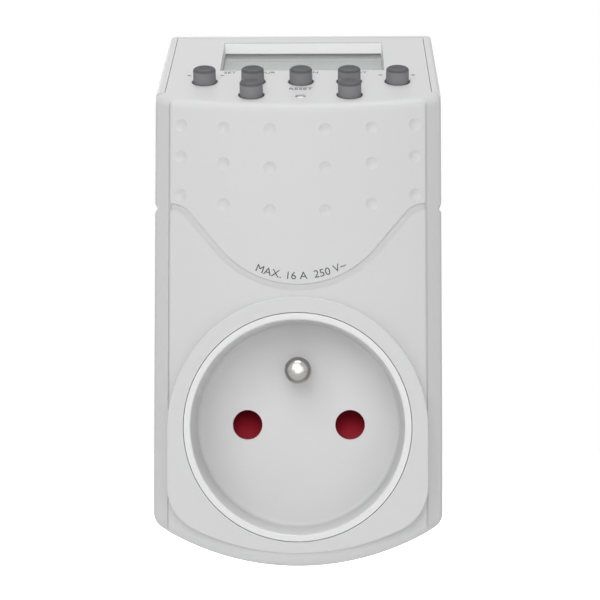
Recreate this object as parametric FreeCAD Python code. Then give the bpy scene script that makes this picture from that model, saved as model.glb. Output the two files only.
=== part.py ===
import FreeCAD
import Part
import math
import os

# Plug-in timer switch, in millimetres.
# X runs to the right as seen from the front, Y runs back to the wall, Z runs up.
# The origin is the middle of the wall plug's face, where the plug's axis leaves it.

Vector = FreeCAD.Vector
DOWN_THE_DEPTH = Vector(0, 1, 0)
TO_THE_FRONT = Vector(0, -1, 0)

# Wall plug and socket pattern, from the two-pin-and-earth standard
pin_spacing = 19.0
pin_diameter = 4.8
pin_length = 19.0
pin_tip_radius = 1.2
earth_offset = 10.0
plug_body_length = 17.0
plug_body_radius = 18.3
plug_face_wall = 3.0
plug_hollow_radius = 13.9
plug_spigot_wall = 2.0
plug_rim_round = 0.8
guide_depth = 2.2
guide_half_width = 3.0
guide_stop = 1.0
clip_bed_depth = 1.7
clip_bed_half_width = 4.5
clip_slot_half_width = 4.1
pin_fit = 0.05
pin_flange_radius = 3.5
pin_flange = 1.6
pin_tail_radius = 2.0
pin_tail_rise = 1.5
retainer_thickness = 2.0
retainer_clearance = 0.2
earth_hole_radius = 2.55
socket_hole_radius = 2.75

# Casing
casing_depth = 38.0
cover_half_width = 25.9
cover_bottom = 24.6
bottom_arc_radius = 48.6
bottom_corner_radius = 3.0
inner_corner_radius = 0.6
wall = 2.0
side_wall = 1.8
shell_setback = 0.0
cheek = 1.6
seam_gap = 0.1
part_gap = 0.1
outer_round = 1.6
shell_round = 0.8
rear_top_round = 3.0

# Curved front face, its slanted side bands and the flat pad round the socket
band_width = 2.9
face_bulge = 2.4
face_edge_round = 1.6
band_depth = 2.4
band_wall = 1.0
band_line_width = 0.35
band_line_depth = 0.25
pad_rise = 0.4
pad_side_margin = 2.8
pad_bottom_margin = 2.3
pad_arc_step = 6.9
pad_corner_radius = 8.5
pad_edge_round = 0.3
pad_root = 1.2

# Sloping control panel
panel_slope = 30.0
panel_start_height = 56.98
panel_rear_margin = 4.92
panel_front_round = 2.2
slab_start = 6.0
lip_wall = 1.2
lip_overlap = 2.5
lip_rise = 4.85
boss_setback = 0.6
boss_clearance = 0.1

# How far the working solids reach beyond the casing
far = 100.0

# Wave groove across the front and its notch in the sides
groove_width = 1.15
groove_depth = 0.32
groove_arc_radius = 18.5
groove_arc_turn = 50.0
groove_end_radius = 4.1
groove_low = 24.7
groove_end_gap = 0.2
notch_height = 1.8
notch_depth = 0.65
notch_run = 9.0

# Dimples in the upper front
dimple_radius = 1.15
dimple_depth = 0.27
dimple_columns = [4.95, 13.25, 21.0]
dimple_top_heights = [52.9, 53.3, 54.0]
dimple_middle_heights = [46.05, 46.9, 48.3]
dimple_low_heights = [38.4, 39.6, 41.3]

# Socket cup
cup_depth = 15.0
cup_mouth_radius = 18.93
cup_floor_radius = 18.75
cup_wall = 1.2
cup_floor = 2.0
cup_clearance = 0.12
cup_flange = 1.5
cup_flange_width = 1.3
cup_seat_clearance = 0.3
cup_mouth_round = 0.3
cup_floor_round = 0.8
socket_pin_rise = 13.5
socket_pin_shoulder = 0.5
socket_pin_tip_round = 1.9
socket_pin_flange_radius = 4.0
socket_pin_flange = 1.5
socket_pin_tail_radius = 1.5
rivet_rise = 1.0

# Display, in the panel's own frame: u across, v up the slope, n out of it
display_offset = 0.6
window_side_lap = 0.9
window_front_gap = 6.3
window_rear_margin = 3.7
window_slope = 0.15
window_back_slope = 0.8
lcd_front_lap = 2.4
lcd_post_gap = 0.1
lens_thickness = 1.0
lcd_thickness = 2.2
frame_wall = 1.05
frame_clearance = 0.15
lcd_shift = 0.35
zebra_width = 2.0
zebra_inset = 0.3
zebra_end_gap = 1.0

# Buttons and keypad
button_offset = 0.45
button_edge_gap = 6.5
rear_row = 12.8
front_row = 5.8
button_radius = 2.1
button_hole_radius = 2.4
button_rise = 2.6
button_flange_radius = 2.9
button_flange = 0.8
button_foot_radius = 1.7
button_foot = 0.75
button_top_round = 0.45
button_dish_depth = 0.2
button_dish_rim = 0.65
reset_row = 5.05
reset_hole_radius = 0.95
reset_radius = 0.75
reset_sink = 0.25
reset_round = 0.2
reset_flange_radius = 1.7
reset_foot_radius = 1.2
running_gap = 0.05
mat_thickness = 1.0
mat_margin = 0.7
dome_base_radius = 2.6
dome_top_radius = 1.9
dome_wall = 0.6
pill_radius = 1.0
pill_height = 0.5
dome_roof = 1.1
dome_lip = 0.6
dome_floor = 0.5

# Logic board under the panel
board_drop = 7.5
logic_board_thickness = 1.2
logic_board_side = 4.0
logic_board_front = 2.5
logic_board_rear_gap = 2.3
post_radius = 2.2
post_inset = 1.6
post_front = 4.7
post_rear_inset = 2.5
post_pilot_radius = 0.8
post_hole_radius = 1.1
chip_radius = 4.5
chip_height = 1.75
chip_u = 2.0
chip_v = 10.0
crystal_radius = 1.0
crystal_length = 6.0
crystal_v = 16.0
cell_radius = 5.75
cell_height = 5.3
cell_round = 0.4
cell_edge_gap = 11.9
cell_v = 22.0
cell_tab_half_width = 2.0
cell_tab_thickness = 0.2
cell_leg_thickness = 0.3
cell_leg_reach = 6.5
logic_screw_head_radius = 1.8
logic_screw_head = 0.9
logic_screw_shank_radius = 0.75
logic_screw_length = 5.8

# Case screws
screw_inset = 6.2
screw_low = -14.6
screw_high = 28.0
screw_radius = 1.3
screw_head_radius = 2.7
screw_head = 2.0
screw_sink = 1.0
screw_tube_radius = 2.7
screw_clearance = 0.2
screw_seat_radius = 4.2
screw_joint = 9.4
screw_bite = 9.0
screw_slot_half = 1.5
screw_slot_width = 0.6
screw_slot_depth = 1.1
screw_seat_floor = 2.8

# Contacts, shutter and carrier
sleeve_radius = 3.1
sleeve_bore = 2.45
sleeve_start = 8.0
sleeve_rear_gap = 2.7
sleeve_slot = 0.9
tube_setback = 1.5
pin_tail_gap = 0.3
tube_wall = 1.0
carrier_plate = 2.0
carrier_half_width = 15.5
carrier_top = 14.0
carrier_bottom = 17.0
carrier_drop = 6.3
shutter_half_height = 3.4
shutter_half_width = 3.6
shutter_travel = 6.6
shutter_gap = 0.3
shutter_bridge = 3.6
ramp_depth = 5.4
spring_radius = 1.6
spring_wire = 0.3
spring_turns = 7
spring_solid_height = 5.4
rail_gap = 0.2
rail_width = 1.4
carrier_screw_spread = 12.5
carrier_screw_height = 11.0
carrier_boss_radius = 2.4
carrier_pilot_radius = 0.9
carrier_screw_hole_radius = 1.2
carrier_screw_length = 7.0
carrier_screw_head = 1.0
carrier_screw_head_radius = 2.0
sleeve_clearance = 0.25
shutter_edge = 0.8
ramp_top = 0.7
peg_length = 1.8
peg_clearance = 0.35
spring_seat_half_width = 3.0
spring_seat = 1.6
rail_top = 6.0
rail_foot_gap = 3.0
tab_half_width = 1.0
tab_thickness = 0.8
tab_top = 7.0
tab_root = 0.6
link_half_width = 1.5
link_low = 2.0
link_thickness = 0.7
link_top = 6.2

# Power board and its parts
power_board_thickness = 1.6
power_board_side = 3.4
power_board_bottom = 22.8
power_board_top = 52.0
standoff = 2.0
standoff_radius = 2.2
standoff_inset = 2.3
standoff_pilot_radius = 0.8
board_screw_hole_radius = 1.2
tube_clearance = 0.4
relay_left_gap = 6.0
relay_right_gap = 10.0
relay_depth = 15.7
relay_bottom = 38.0
relay_top = 50.7
relay_round = 0.6
film_gap = 1.5
film_depth = 12.0
film_bottom = 28.0
film_top = 34.0
film_round = 0.7
can_radius = 4.0
can_height = 11.5
can_edge_round = 0.4
can_groove_height = 1.8
can_groove_depth = 0.25
can_edge_gap = 9.5
can_z = 33.5
varistor_radius = 4.5
varistor_thickness = 4.0
varistor_edge_gap = 8.5
varistor_z = 33.0
varistor_lift = 1.8
varistor_leg_radius = 0.35
varistor_leg_x = 0.8
varistor_leg_z = 2.5
fuse_radius = 1.5
fuse_length = 10.0
fuse_x = -3.0
fuse_z = 36.0
lead_lift = 0.1
lead_thickness = 0.6
diode_radius = 1.1
diode_half_length = 1.8
diode_z = 24.4
diode_spread = 5.0
diode_can_shift = 1.5
diode_lead_thickness = 0.4
board_screw_head_radius = 1.9
board_screw_head = 1.0
board_screw_shank_radius = 0.75
board_screw_length = 4.4

# Wires and ribbon cable
wire_radius = 0.9
wire_bend = 1.6
wire_turn_height = 18.4
wire_board_height = 21.2
wire_end_height = 26.0
ribbon_thickness = 0.9
ribbon_width = 5.0
ribbon_edge_gap = 6.7
ribbon_low = 40.0
ribbon_bend = 3.0
ribbon_end_v = 27.0

# Earth path from the plug body's clips to the socket's pin
earth_metal = 0.8
clip_width = 7.6
clip_leg_back = -15.1
clip_bow = 0.55
clip_bow_front = -5.0
clip_bow_back = -12.0
clip_tip = -1.4
clip_fit = 0.05
top_leg_half_width = 3.4
bottom_leg_reach = 11.0
earth_slot_width = 0.8
earth_slot_start = 3.0
bridge_half_width = 3.5
bridge_bottom = 12.6
bridge_top = 13.2
bridge_hole_radius = 1.0
strap_half_width = 2.5
strap_tab_half_width = 3.0
strap_low = 7.0
strap_top = 13.0

# Places worked out from the sizes above
face_half_width = cover_half_width - band_width
pad_half_width = cover_half_width - pad_side_margin
pad_bottom = cover_bottom - pad_bottom_margin
pad_arc_radius = bottom_arc_radius - pad_arc_step
logic_board_half_width = cover_half_width - logic_board_side
power_board_half_width = cover_half_width - power_board_side
post_spread = logic_board_half_width - post_inset
screw_spread = cover_half_width - screw_inset
plug_spigot_radius = plug_hollow_radius + plug_spigot_wall
y_rear = -plug_body_length
y_pad = y_rear - casing_depth
y_crown = y_pad + pad_rise
y_face_edge = y_crown + face_bulge
y_part = y_face_edge + band_depth + band_wall
y_floor = y_pad + cup_depth
y_floor_back = y_floor + cup_floor
y_sleeve = y_floor_back + sleeve_start
y_inner_rear = y_rear - wall
y_sleeve_end = y_inner_rear - sleeve_rear_gap
shell_half_width = cover_half_width - shell_setback
panel_half_width = shell_half_width - cheek
slope = math.radians(panel_slope)
pin_radius = pin_diameter / 2
pin_half_spacing = pin_spacing / 2
cup_outer_radius = cup_mouth_radius + cup_wall
power_board_back = y_inner_rear - standoff
power_board_front = power_board_back - power_board_thickness
case_screw_places = [(sx * screw_spread, z) for sx in (-1, 1) for z in (screw_low, screw_high)]
y_screw_joint = y_face_edge + wall + screw_joint
groove_reach = face_half_width - groove_end_gap
groove_turn = math.radians(groove_arc_turn)
groove_round_reach = (groove_arc_radius + groove_end_radius) * math.sin(groove_turn)
groove_flank = (groove_reach - groove_round_reach) / math.cos(groove_turn)
groove_round_rise = (groove_arc_radius + groove_end_radius) * (1 - math.cos(groove_turn))
groove_side_height = groove_low + groove_round_rise + groove_flank * math.sin(groove_turn)
clip_bed = plug_body_radius - clip_bed_depth
y_pin_flange = -plug_face_wall
y_retainer = y_pin_flange - pin_flange
y_carrier = y_floor_back + carrier_drop
spring_seat_height = shutter_half_height + shutter_travel + spring_solid_height
panel_length = (casing_depth - panel_rear_margin) / math.cos(slope)
button_pitch = (panel_half_width - button_edge_gap) / 2
post_back = panel_length - logic_board_rear_gap - post_rear_inset
logic_board_back = panel_length - logic_board_rear_gap
frame_reach = post_spread - post_radius - lcd_post_gap - display_offset
lcd_width = 2 * (frame_reach - frame_wall - frame_clearance)
window_width = lcd_width - 2 * window_side_lap
window_front = rear_row + window_front_gap
window_back = panel_length - window_rear_margin
lcd_height = window_back - window_front + lcd_front_lap
relay_left = power_board_half_width - relay_left_gap
relay_right = power_board_half_width - relay_right_gap
can_x = power_board_half_width - can_edge_gap
film_half_width = can_x - can_radius - film_gap
varistor_x = varistor_edge_gap - power_board_half_width
diode_places = [-diode_spread, diode_spread, can_x + diode_can_shift]
ribbon_x = power_board_half_width - ribbon_edge_gap
crystal_u = logic_board_half_width - cell_edge_gap
cell_u = -crystal_u
lip_top = groove_side_height + lip_rise

parts = {}


def keep(name, shape):
    """Stores one finished sub-part under its node name."""
    parts[name] = shape


def solid_box(low, high):
    """A box between two corners."""
    return Part.makeBox(high[0] - low[0], high[1] - low[1], high[2] - low[2], Vector(*low))


def rod(radius, start, end):
    """A cylinder from one point to another."""
    way = Vector(*end) - Vector(*start)
    return Part.makeCylinder(radius, way.Length, Vector(*start), way)


def closed_face(edges):
    """A face from edges given in order."""
    return Part.Face(Part.Wire(edges))


def prism_yz(points, x_low, x_high):
    """A straight prism across X, from (y, z) corners."""
    ring = [Vector(x_low, y, z) for y, z in points]
    return Part.Face(Part.makePolygon(ring + ring[:1])).extrude(Vector(x_high - x_low, 0, 0))


def corner_round(before, corner, after, radius):
    """Where a round begins, its middle and where it ends, at a corner between two straight stretches."""
    inward = (before - corner).normalize()
    outward = (after - corner).normalize()
    half = inward.getAngle(outward) / 2
    cut = radius / math.tan(half)
    middle_way = (inward + outward).normalize()
    middle = corner + middle_way * (radius / math.sin(half) - radius)
    return corner + inward * cut, middle, corner + outward * cut


def turned(points, place, way, rounds=None):
    """A solid of revolution from (radius, height) corners, some of them rounded, stood at a place."""
    corners = [Vector(r, 0, h) for r, h in points]
    rounds = rounds or {}
    stretches = []
    for n, corner in enumerate(corners):
        if n in rounds:
            after = corners[(n + 1) % len(corners)]
            stretches.append(corner_round(corners[n - 1], corner, after, rounds[n]))
        else:
            stretches.append((corner, corner, corner))
    edges = []
    for stretch, following in zip(stretches, stretches[1:] + stretches[:1]):
        start, middle, end = stretch
        if start != end:
            edges.append(Part.Arc(start, middle, end).toShape())
        edges.append(Part.LineSegment(end, following[0]).toShape())
    shape = closed_face(edges).revolve(Vector(0, 0, 0), Vector(0, 0, 1), 360)
    shape.Placement = FreeCAD.Placement(place, FreeCAD.Rotation(Vector(0, 0, 1), way))
    return shape


def shallow_ball(radius, depth):
    """The radius of the ball that presses a dish of a given radius and depth."""
    return (radius ** 2 + depth ** 2) / (2 * depth)


def to_panel(shape):
    """Moves a shape from the panel's own frame (u, v, n) to its real place."""
    moved = shape.copy()
    moved.rotate(Vector(0, 0, 0), Vector(1, 0, 0), panel_slope)
    moved.translate(Vector(0, y_pad, panel_start_height))
    return moved


def edges_on(shape, *surfaces):
    """The edges of a shape whose middle lies on every one of the given surfaces."""
    found = []
    for edge in shape.Edges:
        middle = edge.valueAt((edge.FirstParameter + edge.LastParameter) / 2)
        point = Part.Vertex(middle)
        if all(surface.distToShape(point)[0] < 1e-4 for surface in surfaces):
            found.append(edge)
    return found


def bowl_corner(half_width, low, arc_radius, corner_radius):
    """The round corner between an upright side and the bottom arc: its two ends and its middle."""
    centre_z = arc_radius - low
    x = half_width - corner_radius
    z = centre_z - math.sqrt((arc_radius - corner_radius) ** 2 - x ** 2)
    reach = arc_radius / (arc_radius - corner_radius)
    on_arc = (x * reach, centre_z + (z - centre_z) * reach)
    on_side = (half_width, z)
    aim = math.atan2(on_arc[1] - z, on_arc[0] - x) / 2
    middle = (x + corner_radius * math.cos(aim), z + corner_radius * math.sin(aim))
    return on_arc, middle, on_side


def bowl_edges(half_width, low, arc_radius, corner_radius, y):
    """Edges of the outline's lower part, from the left side round the bottom to the right side."""
    on_arc, middle, on_side = bowl_corner(half_width, low, arc_radius, corner_radius)

    def at(point, side):
        return Vector(side * point[0], y, point[1])

    bottom = Vector(0, y, -low)
    left = Part.Arc(at(on_side, -1), at(middle, -1), at(on_arc, -1)).toShape()
    arc = Part.Arc(at(on_arc, -1), bottom, at(on_arc, 1)).toShape()
    right = Part.Arc(at(on_arc, 1), at(middle, 1), at(on_side, 1)).toShape()
    return [left, arc, right], on_side


def outline_prism(inset, y_low, y_high):
    """The casing's outline, drawn in by an inset, as a prism along the depth."""
    half_width = cover_half_width - inset
    corner = max(bottom_corner_radius - inset, inner_corner_radius)
    bowl, side = bowl_edges(half_width, cover_bottom - inset, bottom_arc_radius - inset, corner, y_low)
    left_foot = Vector(-side[0], y_low, side[1])
    right_foot = Vector(side[0], y_low, side[1])
    left_top = Vector(-side[0], y_low, far)
    right_top = Vector(side[0], y_low, far)
    up = [
        Part.LineSegment(right_foot, right_top).toShape(),
        Part.LineSegment(right_top, left_top).toShape(),
        Part.LineSegment(left_top, left_foot).toShape(),
    ]
    return closed_face(bowl + up).extrude(Vector(0, y_high - y_low, 0))


def face_prism(back, inset=0.0):
    """The curved front with its side bands, set back from the real surface, as a prism along Z."""
    half = face_half_width - inset * 0.6
    crown = y_crown + back
    edge = crown + face_bulge
    band_slope = band_depth / (cover_half_width - face_half_width)
    reach = cover_half_width + band_width
    band_end = edge + (reach - half) * band_slope
    low = -far
    corners = [
        Vector(half, edge, low),
        Vector(reach, band_end, low),
        Vector(reach, far, low),
        Vector(-reach, far, low),
        Vector(-reach, band_end, low),
        Vector(-half, edge, low),
    ]
    front = Part.Arc(corners[-1], Vector(0, crown, low), corners[0]).toShape()
    rest = [Part.LineSegment(a, b).toShape() for a, b in zip(corners, corners[1:])]
    block = closed_face([front] + rest).extrude(Vector(0, 0, 2 * far))
    ridges = [e for e in block.Edges if e.BoundBox.ZLength > far]
    ridges = [e for e in ridges if abs(e.Vertexes[0].Y - edge) < 1e-6]
    return block.makeFillet(face_edge_round, ridges)


def under_panel(drop):
    """All space below the panel's plane, lowered square to it by a drop."""
    step = drop / math.cos(slope)
    front = y_pad - pad_arc_radius
    back = far

    def height(y):
        return panel_start_height + (y - y_pad) * math.tan(slope) - step

    corners = [(front, height(front)), (front, -far), (back, -far), (back, height(back))]
    return prism_yz(corners, -far, far)


def face_depth(x):
    """How far back the curved front lies at a distance from the middle, and its radius."""
    radius = (face_half_width ** 2 + face_bulge ** 2) / (2 * face_bulge)
    return y_crown + radius - math.sqrt(radius ** 2 - x ** 2), radius


def pad_block():
    """The flat raised pad round the socket, with its softened edge."""
    bowl, side = bowl_edges(pad_half_width, pad_bottom, pad_arc_radius, pad_corner_radius, y_pad)
    right_foot = Vector(side[0], y_pad, side[1])
    left_foot = Vector(-side[0], y_pad, side[1])
    right_top = Vector(side[0], y_pad, 0)
    left_top = Vector(-side[0], y_pad, 0)
    sides = [
        Part.LineSegment(right_foot, right_top).toShape(),
        Part.Arc(right_top, Vector(0, y_pad, pad_half_width), left_top).toShape(),
        Part.LineSegment(left_top, left_foot).toShape(),
    ]
    face = closed_face(bowl + sides)
    block = face.extrude(Vector(0, pad_rise + face_bulge + pad_root, 0))
    rim = [e for e in block.Edges if abs(e.CenterOfMass.y - y_pad) < 1e-6]
    return block.makeFillet(pad_edge_round, rim)


def wave_edges(spread, y):
    """One side of the wave groove, from end to end: its middle line moved outwards by a spread."""
    centre_z = groove_low + groove_arc_radius
    big = groove_arc_radius + spread
    small = groove_end_radius - spread
    sine = math.sin(groove_turn)
    cosine = math.cos(groove_turn)
    low = (0.0, centre_z - big)
    foot = (big * sine, centre_z - big * cosine)
    top = (foot[0] + groove_flank * cosine, foot[1] + groove_flank * sine)
    end_centre = (groove_reach, groove_side_height - groove_end_radius)
    half_turn = groove_turn / 2
    bend = (end_centre[0] - small * math.sin(half_turn), end_centre[1] + small * math.cos(half_turn))
    end = (end_centre[0], end_centre[1] + small)

    def at(point, side):
        return Vector(side * point[0], y, point[1])

    return [
        Part.Arc(at(end, -1), at(bend, -1), at(top, -1)).toShape(),
        Part.LineSegment(at(top, -1), at(foot, -1)).toShape(),
        Part.Arc(at(foot, -1), at(low, 1), at(foot, 1)).toShape(),
        Part.LineSegment(at(foot, 1), at(top, 1)).toShape(),
        Part.Arc(at(top, 1), at(bend, 1), at(end, 1)).toShape(),
    ]


def wave_cutter():
    """The wave groove: a strip along the wave, as deep as the groove under the curved face."""
    y = y_pad - far
    upper = wave_edges(-groove_width / 2, y)
    lower = wave_edges(groove_width / 2, y)
    left = Part.LineSegment(upper[0].Vertexes[0].Point, lower[0].Vertexes[0].Point).toShape()
    right = Part.LineSegment(upper[-1].Vertexes[-1].Point, lower[-1].Vertexes[-1].Point).toShape()
    ring = Part.Wire(Part.__sortEdges__(upper + lower + [left, right]))
    strip = Part.Face(ring).extrude(Vector(0, 2 * far, 0))
    return strip.cut(face_prism(groove_depth))


def band_line_cutter(side):
    """The fine line that parts the curved front from one of its side bands."""
    inner = side * (face_half_width - band_line_width / 2)
    outer = side * (face_half_width + band_line_width / 2)
    low, high = sorted((inner, outer))
    return solid_box((low, y_pad - far, -far), (high, 0, far)).cut(face_prism(band_line_depth))


def notch_outline(side, y):
    """The V of the side notch at one depth, twice as deep as the notch because half lies outside."""
    inner = side * (cover_half_width - notch_depth)
    outer = side * (cover_half_width + notch_depth)
    corners = [
        Vector(outer, y, groove_side_height + notch_height),
        Vector(inner, y, groove_side_height),
        Vector(outer, y, groove_side_height - notch_height),
    ]
    return Part.makePolygon(corners + corners[:1])


def notch_cutter(side):
    """The small V notch that ends the wave groove in one side of the cover."""
    return Part.Face(notch_outline(side, y_pad)).extrude(Vector(0, far, 0))


def notch_fade(side):
    """The notch running on into the back shell's side, shallower and shallower until it ends."""
    outer = side * (cover_half_width + notch_depth)
    tip = Part.Vertex(Vector(outer, y_part + 2 * notch_run, groove_side_height))
    return Part.makeLoft([notch_outline(side, y_part), tip], True, True)


def dimples():
    """Shallow round dimples in three bowed rows across the upper front."""
    ball = shallow_ball(dimple_radius, dimple_depth)
    made = []
    for heights in (dimple_top_heights, dimple_middle_heights, dimple_low_heights):
        for x, z in zip(dimple_columns, heights):
            depth, radius = face_depth(x)
            for side in (-1, 1):
                outward = Vector(side * x / radius, -math.sqrt(1 - (x / radius) ** 2), 0)
                centre = Vector(side * x, depth, z) + outward * (ball - dimple_depth)
                made.append(Part.makeSphere(ball, centre, outward))
                made[-1].rotate(centre, outward, 45.0)
    return made


def window_cutter():
    """The display's recess through the panel, wider at the top, in the panel's frame."""
    half = window_width / 2

    def ring(grow, back_grow, n):
        low_v = window_front - grow
        high_v = window_back + back_grow
        left = display_offset - half - grow
        right = display_offset + half + grow
        points = [Vector(left, low_v, n), Vector(right, low_v, n)]
        points += [Vector(right, high_v, n), Vector(left, high_v, n)]
        return Part.makePolygon(points + points[:1])

    lift = 1.0
    share = (wall + lift) / wall
    bottom = ring(0.0, 0.0, -wall)
    top = ring(window_slope * share, window_back_slope * share, lift)
    through = solid_box(
        (display_offset - half, window_front, -wall - 1.0),
        (display_offset + half, window_back, -wall + 0.001),
    )
    return Part.makeLoft([bottom, top], True, True).fuse(through)


def button_places():
    """Where the seven buttons stand on the panel, as name, u and v."""
    places = []
    for n in range(5):
        places.append(("button_rear_%d" % (n + 1), button_offset + (n - 2) * button_pitch, rear_row))
    places.append(("button_front_1", button_offset - button_pitch, front_row))
    places.append(("button_front_2", button_offset + button_pitch, front_row))
    return places


def post_places():
    """Where the logic board is screwed to the panel, as u and v."""
    return [(side * post_spread, v) for side in (-1, 1) for v in (post_front, post_back)]


def make_front_cover():
    """Front cover: curved front with pad, groove and dimples, and the sloping control panel."""
    front = face_prism(0.0)
    plane = under_panel(0.0)
    wedge = front.common(plane)
    top_face = [f for f in plane.Faces if abs(f.normalAt(0, 0).z - math.cos(slope)) < 1e-6][0]
    wedge = wedge.makeFillet(panel_front_round, [e for e in edges_on(wedge, top_face, front.Shells[0])
                                                 if e.BoundBox.YMax < y_rear])
    outline = outline_prism(0.0, y_pad - far, y_part)
    block = outline.common(wedge)
    sides = Part.Compound([f for f in outline.Faces if abs(f.normalAt(0, 0).y) < 0.5])
    rim = [e for e in edges_on(block, sides) if e.BoundBox.YMin < y_part - 1e-3]
    rim = [e for e in rim if e.CenterOfMass.y < y_part - 1e-3]
    block = block.makeFillet(outer_round, rim)
    for side in (-1, 1):
        block = block.cut(band_line_cutter(side))
    block = block.fuse(pad_block())

    cavity = outline_prism(wall, y_pad - far, far).common(face_prism(wall, wall))
    cavity = cavity.common(under_panel(wall))
    cover = block.cut(cavity)

    slab_half = panel_half_width - seam_gap
    slab = to_panel(solid_box((-slab_half, slab_start, -wall), (slab_half, panel_length - seam_gap, 0.0)))
    cover = cover.fuse(slab)

    lip_inset = shell_setback + side_wall + seam_gap
    lip = outline_prism(lip_inset, y_face_edge, y_part + lip_overlap)
    lip = lip.cut(outline_prism(lip_inset + lip_wall, y_pad, far))
    lip = lip.common(solid_box((-far, -far, -far), (far, far, lip_top)))
    lip = lip.common(face_prism(wall * 0.7))
    cover = cover.fuse(lip)

    bosses = []
    for x, z in case_screw_places:
        start = (x, y_face_edge + boss_setback, z)
        bosses.append(rod(screw_tube_radius - boss_clearance, start, (x, y_screw_joint, z)))
    cover = cover.fuse(bosses)
    seat_radius = cup_outer_radius + cup_flange_width + cup_seat_clearance
    seat = rod(seat_radius, (0, y_crown + wall, 0), (0, y_part, 0))
    cover = cover.cut(seat)

    posts = []
    pilots = []
    for u, v in post_places():
        posts.append(to_panel(rod(post_radius, (u, v, -wall + 0.2), (u, v, -board_drop))))
        pilots.append(to_panel(rod(post_pilot_radius, (u, v, -board_drop), (u, v, -wall - 0.6))))
    cover = cover.fuse(posts)

    cutters = pilots
    holes = [(button_hole_radius, u, v) for name, u, v in button_places()]
    holes.append((reset_hole_radius, button_offset, reset_row))
    for radius, u, v in holes:
        cutters.append(to_panel(rod(radius, (u, v, -wall - 1), (u, v, 1))))
    cutters.append(to_panel(window_cutter()))
    cutters.append(rod(cup_outer_radius + cup_clearance, (0, y_pad - 2, 0), (0, y_part, 0)))
    for x, z in case_screw_places:
        start = (x, y_screw_joint - screw_bite, z)
        cutters.append(rod(screw_radius + running_gap, start, (x, y_screw_joint + 1, z)))
    cutters.append(wave_cutter())
    cutters += [notch_cutter(-1), notch_cutter(1)]
    for cutter in cutters:
        cover = cover.cut(cutter)
    keep("front_cover", cover.cut(dimples()))


def plug_outside():
    """The outside of the plug body, with its guide grooves and the beds of the earth clips."""
    body = rod(plug_body_radius, (0, y_rear, 0), (0, 0, 0))
    rim = [e for e in body.Edges if abs(e.CenterOfMass.y) < 1e-6]
    body = body.makeFillet(plug_rim_round, rim)
    outer = plug_body_radius + 1.0
    for side in (-1, 1):
        low, high = sorted((side * (plug_body_radius - guide_depth), side * outer))
        start = (low, y_rear + guide_stop, -guide_half_width)
        body = body.cut(solid_box(start, (high, 1.0, guide_half_width)))
        low, high = sorted((side * clip_bed, side * outer))
        body = body.cut(solid_box((-clip_bed_half_width, y_rear, low), (clip_bed_half_width, 1.0, high)))
    return body


def make_plug_body():
    """Plug body: the round cup that holds the pins, welded by its spigot into the back shell."""
    body = plug_outside().fuse(rod(plug_spigot_radius, (0, y_inner_rear, 0), (0, y_rear + 1.0, 0)))
    body = body.cut(rod(plug_hollow_radius, (0, y_inner_rear - 1, 0), (0, y_pin_flange, 0)))
    half = clip_slot_half_width
    slot_back = clip_leg_back - part_gap
    slot_front = clip_leg_back + earth_metal + part_gap
    for side in (-1, 1):
        x = side * pin_half_spacing
        body = body.cut(rod(pin_radius, (x, y_pin_flange - 1, 0), (x, 1, 0)))
        low, high = sorted((side * (plug_hollow_radius - 1.0), side * (plug_body_radius - 1.0)))
        body = body.cut(solid_box((-half, slot_back, low), (half, slot_front, high)))
    body = body.cut(rod(earth_hole_radius, (0, y_pin_flange - 1, earth_offset), (0, 1, earth_offset)))
    keep("plug_body", body)


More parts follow.
